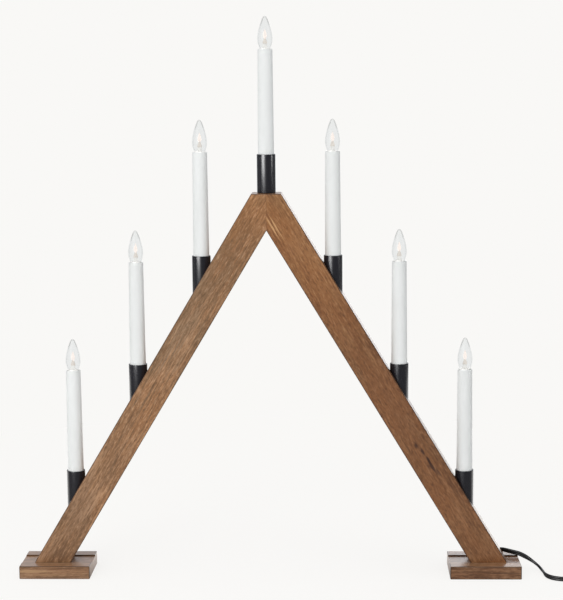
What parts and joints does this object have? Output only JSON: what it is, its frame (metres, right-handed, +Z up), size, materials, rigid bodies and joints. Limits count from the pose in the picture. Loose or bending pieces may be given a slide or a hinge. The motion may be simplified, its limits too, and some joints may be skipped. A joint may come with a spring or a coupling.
{
  "type": "led candelabra",
  "caption": "Electric candle arch for a table or window sill: two slanted beams on flat feet carry cylindrical cups with candle sleeves and lift-out flame bulbs, with a coiled mains cord.",
  "frame": {"origin": "on the surface that the feet stand on, below the middle of the apex, midway between the feet's front and rear faces", "axes": "+X to the right as seen from the front, towards the foot that the cord leaves at; +Y to the back; +Z up"},
  "size_m": [0.7332, 0.0892, 0.5888],
  "materials": {
    "walnut": "satin, straight grain along each beam, eased edges",
    "inner_wood": "bare",
    "black_lacquer": "satin black",
    "white_plastic": "smooth white",
    "holder_plastic": "matt off-white",
    "clear_glass": "clear",
    "cap_metal": "bright, with a pale plastic collar and a dark core inside the glass",
    "screw_steel": "zinc plated",
    "wire_sheath": "matt",
    "black_plastic": "fine matt",
    "black_cord": "satin",
    "pin_nickel": "bright nickel"
  },
  "bodies": {
    "frame": {"left_beam": "walnut", "left_channel_cover": "walnut", "left_wiring": "wire_sheath", "left_foot": "walnut", "left_foot_inner_screw": "screw_steel", "left_foot_outer_screw": "screw_steel", "right_beam": "walnut", "right_channel_cover": "walnut", "right_wiring": "wire_sheath", "right_foot": "walnut", "right_foot_inner_screw": "screw_steel", "right_foot_outer_screw": "screw_steel", "apex_spline": "inner_wood", "lower_left_cup": "black_lacquer", "lower_left_sleeve": "white_plastic", "lower_left_lampholder": "holder_plastic", "middle_left_cup": "black_lacquer", "middle_left_sleeve": "white_plastic", "middle_left_lampholder": "holder_plastic", "upper_left_cup": "black_lacquer", "upper_left_sleeve": "white_plastic", "upper_left_lampholder": "holder_plastic", "top_cup": "black_lacquer", "top_sleeve": "white_plastic", "top_lampholder": "holder_plastic", "upper_right_cup": "black_lacquer", "upper_right_sleeve": "white_plastic", "upper_right_lampholder": "holder_plastic", "middle_right_cup": "black_lacquer", "middle_right_sleeve": "white_plastic", "middle_right_lampholder": "holder_plastic", "lower_right_cup": "black_lacquer", "lower_right_sleeve": "white_plastic", "lower_right_lampholder": "holder_plastic", "cord_outlet": "black_plastic", "cord_run": "black_cord", "cord_coil": "black_cord", "cord_tie": "black_plastic", "plug_body": "black_plastic", "plug_front_pin": "pin_nickel", "plug_rear_pin": "pin_nickel"},
    "lower_left_bulb": {"lower_left_bulb_base": "cap_metal", "lower_left_bulb_glass": "clear_glass"},
    "middle_left_bulb": {"middle_left_bulb_base": "cap_metal", "middle_left_bulb_glass": "clear_glass"},
    "upper_left_bulb": {"upper_left_bulb_base": "cap_metal", "upper_left_bulb_glass": "clear_glass"},
    "top_bulb": {"top_bulb_base": "cap_metal", "top_bulb_glass": "clear_glass"},
    "upper_right_bulb": {"upper_right_bulb_base": "cap_metal", "upper_right_bulb_glass": "clear_glass"},
    "middle_right_bulb": {"middle_right_bulb_base": "cap_metal", "middle_right_bulb_glass": "clear_glass"},
    "lower_right_bulb": {"lower_right_bulb_base": "cap_metal", "lower_right_bulb_glass": "clear_glass"}
  },
  "joints": [
    {"name": "lower_left_bulb_lift", "type": "slide", "parent": "frame", "child": "lower_left_bulb", "axis": [0, 0, 1], "range_m": [0, 0.025]},
    {"name": "middle_left_bulb_lift", "type": "slide", "parent": "frame", "child": "middle_left_bulb", "axis": [0, 0, 1], "range_m": [0, 0.025]},
    {"name": "upper_left_bulb_lift", "type": "slide", "parent": "frame", "child": "upper_left_bulb", "axis": [0, 0, 1], "range_m": [0, 0.025]},
    {"name": "top_bulb_lift", "type": "slide", "parent": "frame", "child": "top_bulb", "axis": [0, 0, 1], "range_m": [0, 0.025]},
    {"name": "upper_right_bulb_lift", "type": "slide", "parent": "frame", "child": "upper_right_bulb", "axis": [0, 0, 1], "range_m": [0, 0.025]},
    {"name": "middle_right_bulb_lift", "type": "slide", "parent": "frame", "child": "middle_right_bulb", "axis": [0, 0, 1], "range_m": [0, 0.025]},
    {"name": "lower_right_bulb_lift", "type": "slide", "parent": "frame", "child": "lower_right_bulb", "axis": [0, 0, 1], "range_m": [0, 0.025]}
  ]
}
